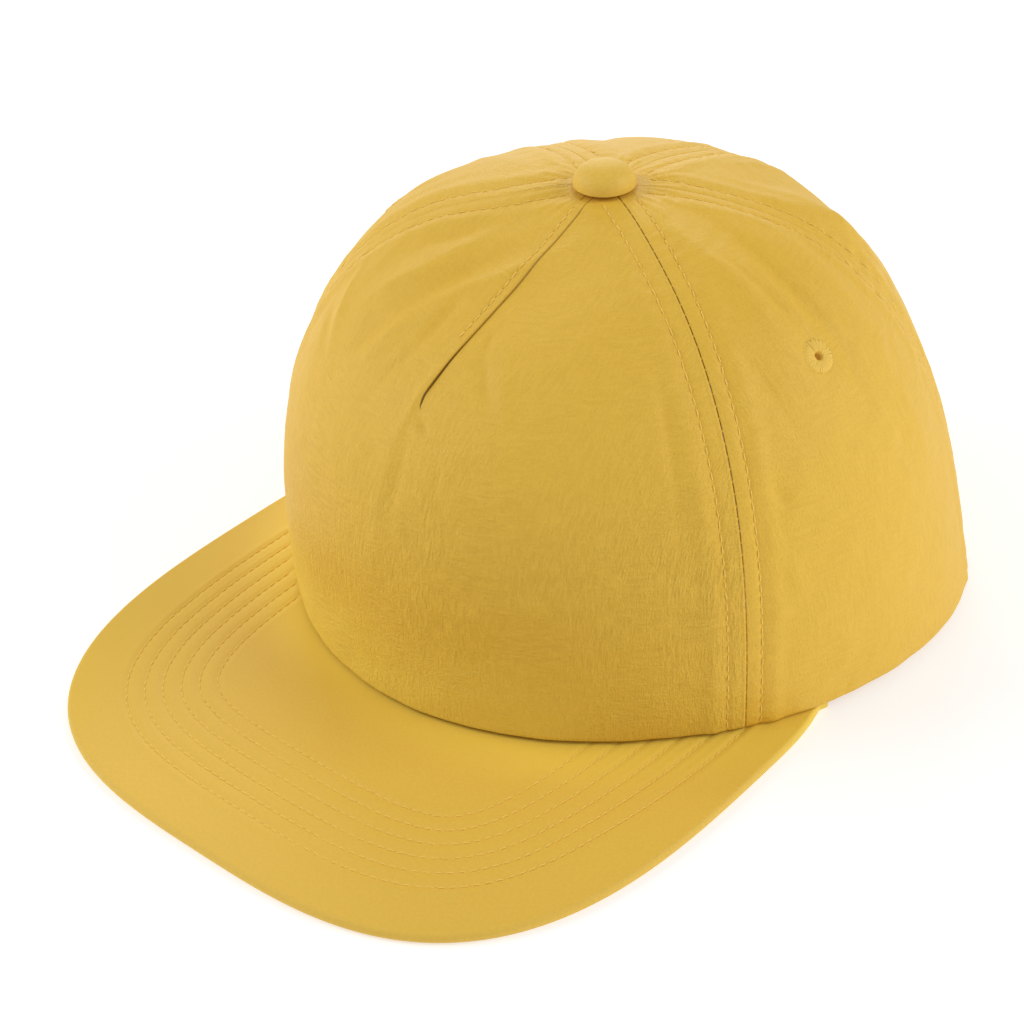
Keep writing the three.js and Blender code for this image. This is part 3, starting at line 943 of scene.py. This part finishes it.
def panel_stitches(inside):
    """Rows of stitches beside all seams and beside the dart, as seen from one side of the cloth."""
    places = []
    for panel in PANELS:
        rows = [seam_row(panel, *seam) for seam in seams_of(panel)]
        if panel is FRONT_PANEL:
            rows.append(dart_row())
        for rises, rounds in rows:
            from_seam = np.minimum(*seam_distances(panel, rounds, rises))
            keep = (from_seam > panel.row - 0.2) & (rises > 0.5)
            rises, rounds = rises[keep], rounds[keep]
            outward = crown_normal(rounds, rises)
            points = cloth_point(panel, rounds, rises)
            if inside:
                points, outward = points - cloth.double * outward, -outward
            places += places_on_line(points, outward, sewn.pitch)
    return places


def make_crown():
    for panel in PANELS:
        make_panel(panel)
    for name, inside, seed in (("seam_stitches", False, 3), ("inner_seam_stitches", True, 4)):
        stitches = stitched_piece(name, sewn.pitch, panel_stitches(inside), seed)
        dress(stitches, "crown_cloth", sewing_thread)


def brim_outline():
    """The brim's edge from its right-hand side, round the front to its left-hand side."""
    t = np.linspace(0, math.pi / 2, 1500)
    x = brim.half_width * np.sin(t) ** (2 / brim.power)
    reach = np.cos(t) ** (2 / brim.power)
    ahead = np.stack([x, brim.widest_y - brim.front_reach * reach], -1)
    behind = np.stack([x, brim.widest_y + brim.rear_reach * reach], -1)[::-1]
    half = np.concatenate([ahead, behind[1:]])
    half = half[half[:, 1] < brim.widest_y + brim.outline_share * brim.rear_reach]
    line = np.concatenate([half[:0:-1] * (-1, 1), half])
    lengths = lengths_along(line)
    return on_line(np.arange(0, lengths[-1], brim.outline_step), lengths, line)


OUTLINE = brim_outline()
HEADING = unit(np.gradient(OUTLINE, axis=0))
INWARD = np.stack([-HEADING[:, 1], HEADING[:, 0]], -1)
TURNED = np.unwrap(np.arctan2(HEADING[:, 1], HEADING[:, 0]))
LENGTH = np.arange(len(OUTLINE)) * brim.outline_step


def brim_place(points):
    """Inset from the brim's edge, the length along a line with that inset, and the nearest edge point."""
    inset = np.empty(len(points))
    nearest = np.empty(len(points), int)
    for start in range(0, len(points), 2000):
        part = slice(start, start + 2000)
        gaps = ((points[part, None, :] - OUTLINE[None]) ** 2).sum(-1)
        nearest[part] = gaps.argmin(1)
        inset[part] = np.sqrt(gaps.min(1))
    along = LENGTH[nearest] - inset * (TURNED[nearest] - TURNED[0])
    return inset, along, nearest


def brim_radius(around):
    """Distance from the crown's axis to the brim's edge."""
    def inside(radius):
        x = radius * np.sin(around * DEGREE)
        y = crown.centre_y - radius * np.cos(around * DEGREE)
        reach = np.where(y < brim.widest_y, brim.front_reach, brim.rear_reach)
        along = np.abs(y - brim.widest_y) / reach
        return (np.abs(x) / brim.half_width) ** brim.power + along ** brim.power < 1

    return farthest(inside, np.zeros_like(around), 128.0, 30)


def row_inset(row, nearest):
    """Inset of a row of stitches. The rows fan out towards the crown on the wearer's left."""
    side_y = OUTLINE[nearest, 1]
    fanned = np.where(OUTLINE[nearest, 0] > 0, smoothstep(-75, -20, side_y), 0)
    return brim.first_row + row * brim.row_gap - brim.fan * (brim.row_count - 1 - row) * fanned


def brim_wave(x, y):
    """The board isn't quite flat."""
    return 0.12 * waves(x, y, 60, 41)


def make_brim():
    """The covered board: from its inner edge over the top, round the outer edge and back below."""
    piece, across, up = grid("brim_cover", brim.columns, 2 * brim.rows)
    around = brim.end_angle * (2 * across - 1)
    inner = rim_radius(around) - sweatband.wall_of_crown - sweatband.clearance - sweatband.wall
    outer = np.maximum(brim_radius(around), inner + brim.tip_width)
    edge = np.minimum(brim.edge, (outer - inner) / 3)
    half = brim.thickness / 2
    side = 2 * up - 1
    on_flat = np.clip((np.abs(side) - brim.edge_share) / (1 - brim.edge_share), 0, 1)
    corner = np.clip(1 - np.abs(side) / brim.edge_share, 0, 1) * math.pi / 2
    flat_radius = outer - edge - on_flat * (outer - edge - inner)
    radius = np.where(on_flat > 0, flat_radius, outer - edge + edge * np.sin(corner))
    level = half * np.where(on_flat > 0, 1, np.cos(corner))
    x = radius * np.sin(around * DEGREE)
    y = crown.centre_y - radius * np.cos(around * DEGREE)
    inset, along, nearest = brim_place(np.stack([x, y], -1))
    from_rows = [np.abs(inset - row_inset(row, nearest)) for row in range(brim.row_count)]
    from_row = np.min(from_rows, axis=0)
    on_rows = (on_flat > 0).astype(float)
    puffed = brim.puff * smoothstep(3.2, 1.6, from_row)
    quilt = on_rows * (puffed - brim.groove * bell(from_row / 0.8))
    top = side > 0
    z = half + np.where(top, 1, -1) * (level + quilt)
    z = z + brim_wave(x, y) * np.where(top, 1, 0) * smoothstep(0, 0.4, on_flat)
    put_vertices(piece, np.stack([x, y, np.maximum(z, 0)], -1))
    note(piece, "row_mm", from_row, along, on_rows)
    note(piece, "cloth_mm", x, y, z)
    merge_doubles(piece)
    with edit_mode(piece):
        bpy.ops.mesh.select_all(action="DESELECT")
        bpy.ops.mesh.select_non_manifold()
        bpy.ops.mesh.fill()
        bpy.ops.mesh.select_all(action="SELECT")
        bpy.ops.mesh.normals_make_consistent(inside=False)
    smooth(piece)
    dress(piece, "brim_cloth", brim_cloth, "brim")


def brim_stitches():
    """Six parallel rows round the brim, up to the crown, seen on its top and on its underside."""
    places = []
    nearest = np.arange(len(OUTLINE))
    for row in range(brim.row_count):
        line = OUTLINE + INWARD * row_inset(row, nearest)[:, None]
        from_axis = line - (0, crown.centre_y)
        around = np.degrees(np.arctan2(from_axis[:, 0], -from_axis[:, 1]))
        line = line[np.linalg.norm(from_axis, axis=1) > rim_radius(around) + 0.2]
        along = brim_place(line)[1]
        first, last = math.ceil(along[0] / brim.pitch), math.floor(along[-1] / brim.pitch)
        middles = (np.arange(first, last) + 0.5) * brim.pitch
        spots = on_line(middles, along, line)
        ways = unit(on_line(middles + 0.3, along, line) - spots)
        tops = brim.thickness + brim_wave(*spots.T) - brim.stitch_sink
        for spot, way, top in zip(spots, ways, tops):
            for level, outward in ((top, 1.0), (brim.under_stitch, -1.0)):
                places.append((np.array([*spot, level]), np.array([*way, 0]), np.array([0, 0, outward])))
    return stitched_piece("brim_stitches", brim.pitch, places, 5)


def make_sweatband():
    """A cloth band inside the rim, sewn together at the back, with a row of stitches at its foot."""
    piece, across, up = grid("sweatband_cloth", sweatband.columns, sweatband.rows)
    around = 360 * across - 180
    rise = sweatband.low_rise + (sweatband.high_rise - sweatband.low_rise) * up
    inset = sweatband.wall_of_crown + sweatband.clearance + sweatband.play
    height = mm_up(rise)
    from_join = np.abs(mm_round(180 - np.abs(around), 0, rise))
    ripple = sweatband.ripple * waves(around * 1.6, height, 9, 51) * up
    ripple = ripple + sweatband.join * bell(from_join / 0.5)
    sewn_down = sweatband.row_depth * bell((height - sweatband.row) / 0.6)
    inward = crown_normal(around, rise) * (inset + ripple + sewn_down)[..., None]
    points = crown_point(around, rise) - inward
    points[:, 2] = np.maximum(points[:, 2], sweatband.lowest)
    put_vertices(piece, points)
    merge_doubles(piece)
    thicken(piece, sweatband.cloth, 1)
    keep_above_floor(piece)
    smooth(piece, 50)
    dress(piece, "sweatband_cloth", band_cloth, "sweatband")
    rounds = np.linspace(-179, 179, 800)
    rises = np.full_like(rounds, sweatband.row / mm_up(1))
    outward = -crown_normal(rounds, rises)
    line = crown_point(rounds, rises) + outward * (inset + sweatband.cloth)
    places = places_on_line(line, outward, sewn.pitch)
    stitches = stitched_piece("sweatband_stitches", sewn.pitch, places, 6)
    dress(stitches, "sweatband_cloth", sewing_thread)
    flat = 2 * math.pi * crown.rim_radius * MM, mm_up(sweatband.high_rise - sweatband.low_rise) * MM


def make_button():
    """A disc of cloth drawn over a domed button, gathered round its foot."""
    add = bpy.ops.mesh.primitive_uv_sphere_add
    piece = primitive("covered_button", add, segments=96, ring_count=48, radius=1)
    x, y, z = vertices_of(piece).T
    seat = crown.height + peak.height + sweatband.clearance
    around = np.arctan2(y, x)
    flat = np.hypot(x, y)
    size = np.maximum(flat, 1e-9) ** button.roundness + np.abs(z) ** button.roundness
    fuller = size ** (-1 / button.roundness)
    flat, z = flat * fuller, z * fuller
    pleats = 1 + button.pleat_depth * np.cos(button.pleats * around) * smoothstep(0.35, -0.5, z)
    up = button.under + np.where(z > 0, button.height - button.under, button.under) * z
    reach = button.radius * flat * pleats
    x, y = reach * np.cos(around), crown.button_y - button.forward + reach * np.sin(around)
    put_vertices(piece, np.stack([x, y, seat + up], -1))
    smooth(piece)
    dress(piece, "button_cloth", button_cloth, "button")


def make_eyelet(panel):
    """A ring of satin stitches round a small hole, seated on the side panel."""
    seat, normal = eyelet_seat(panel)
    right = unit(np.cross([0, 0, 1.0], normal))
    upward = np.cross(normal, right)
    draw = np.random.default_rng(7 + PANELS.index(panel))
    points, faces = [], []
    for strand in range(eyelet.threads):
        first = len(points)
        turn = 2 * math.pi * strand / eyelet.threads
        outer = eyelet.outer + draw.normal(0, 0.14)
        swing = draw.normal(0, 0.02)
        high = eyelet.stand * (1 + draw.normal(0, 0.12))
        for t in np.linspace(0, 1, eyelet.rings + 1):
            reach = eyelet.bore + (outer - eyelet.bore) * t
            into_hole = eyelet.into_hole * max(0.1 - t, 0) / 0.1
            into_cloth = eyelet.into_cloth * max(t - 0.85, 0) / 0.15
            lift = 0.1 + high * math.sin(math.pi * (0.12 + 0.88 * t)) ** 0.6 - into_hole - into_cloth
            width = eyelet.strand + 0.25 * t
            angle = turn + swing * t
            middle = right * math.cos(angle) + upward * math.sin(angle)
            aside = -right * math.sin(angle) + upward * math.cos(angle)
            for bend in np.arange(eyelet.sides) * 2 * math.pi / eyelet.sides:
                offset = aside * width * math.cos(bend) + normal * eyelet.strand * math.sin(bend)
                points.append(seat + middle * reach + normal * lift + offset)
        faces += tube_faces(eyelet.sides, eyelet.rings, first)
    name = panel.name.split("_")[0] + "_eyelet"
    piece = joined(name + "_stitches", np.array(points), faces)
    merge_doubles(piece, 0.0001)
    dress(piece, "eyelet_thread", eyelet_thread, name)


make_brim()
dress(brim_stitches(), "brim_cloth", sewing_thread)
make_crown()
make_sweatband()
make_button()
for panel in PANELS[1:3]:
    make_eyelet(panel)


def make_floor():
    floor = primitive("floor", bpy.ops.mesh.primitive_plane_add, size=6)
    made = Finish("pale_floor", roughness=0.9)
    made.colour((0.62, 0.62, 0.62, 1))
    made.shader.inputs["Emission Color"].default_value = (1, 1, 1, 1)
    made.shader.inputs["Emission Strength"].default_value = 0.5
    floor.data.materials.append(made.material)


def direction(azimuth, elevation):
    """The way from the cap to a lamp or the camera. Azimuth 0 is in front of the brim."""
    a, e = azimuth * DEGREE, elevation * DEGREE
    return Vector((math.sin(a) * math.cos(e), -math.cos(a) * math.cos(e), math.sin(e)))


Lamp = namedtuple("Lamp", "name azimuth elevation distance size watts")
# Right and left are those of the picture
room_light = 0.436
LAMPS = [
    Lamp("right_softbox", 117, 32, 1.6, 1.0, 11.8),
    Lamp("left_softbox", 304, 34, 1.6, 1.0, 12.3),
    Lamp("back_softbox", 221, 22, 1.8, 1.0, 8.8),
]


def make_lights():
    for lamp in LAMPS:
        light = bpy.data.lights.new(lamp.name, "AREA")
        light.size = lamp.size
        light.energy = lamp.watts
        holder = added(lamp.name, light)
        way = direction(lamp.azimuth, lamp.elevation)
        holder.location = way * lamp.distance
        holder.rotation_euler = way.to_track_quat("Z", "Y").to_euler()
    world = bpy.data.worlds.new("studio")
    world.use_nodes = True
    background = next(n for n in world.node_tree.nodes if n.type == "BACKGROUND")
    background.inputs["Color"].default_value = (1, 1, 1, 1)
    background.inputs["Strength"].default_value = room_light
    bpy.context.scene.world = world


# The photograph's view: where the camera looks, from how far, and its focal length in pixels
view = SimpleNamespace(
    azimuth=41.67, elevation=34.73, distance=592, roll=-2.5,
    target=(-32.4, 26.2), focal=2042, image_side=1024,
)


def make_camera():
    camera = bpy.data.cameras.new("camera")
    camera.sensor_width = 36
    camera.lens = view.focal * camera.sensor_width / view.image_side
    back = direction(view.azimuth, view.elevation)
    right = Vector((math.cos(view.azimuth * DEGREE), math.sin(view.azimuth * DEGREE), 0))
    turn = Matrix((right, back.cross(right), back)).transposed().to_4x4()
    place = Vector((*view.target, 0)) * MM + back * view.distance * MM
    holder = added("camera", camera)
    holder.matrix_world = Matrix.Translation(place) @ turn @ Matrix.Rotation(view.roll * DEGREE, 4, "Z")
    bpy.context.scene.camera = holder


make_floor()
make_lights()
make_camera()
bpy.context.scene.view_settings.view_transform = "Standard"
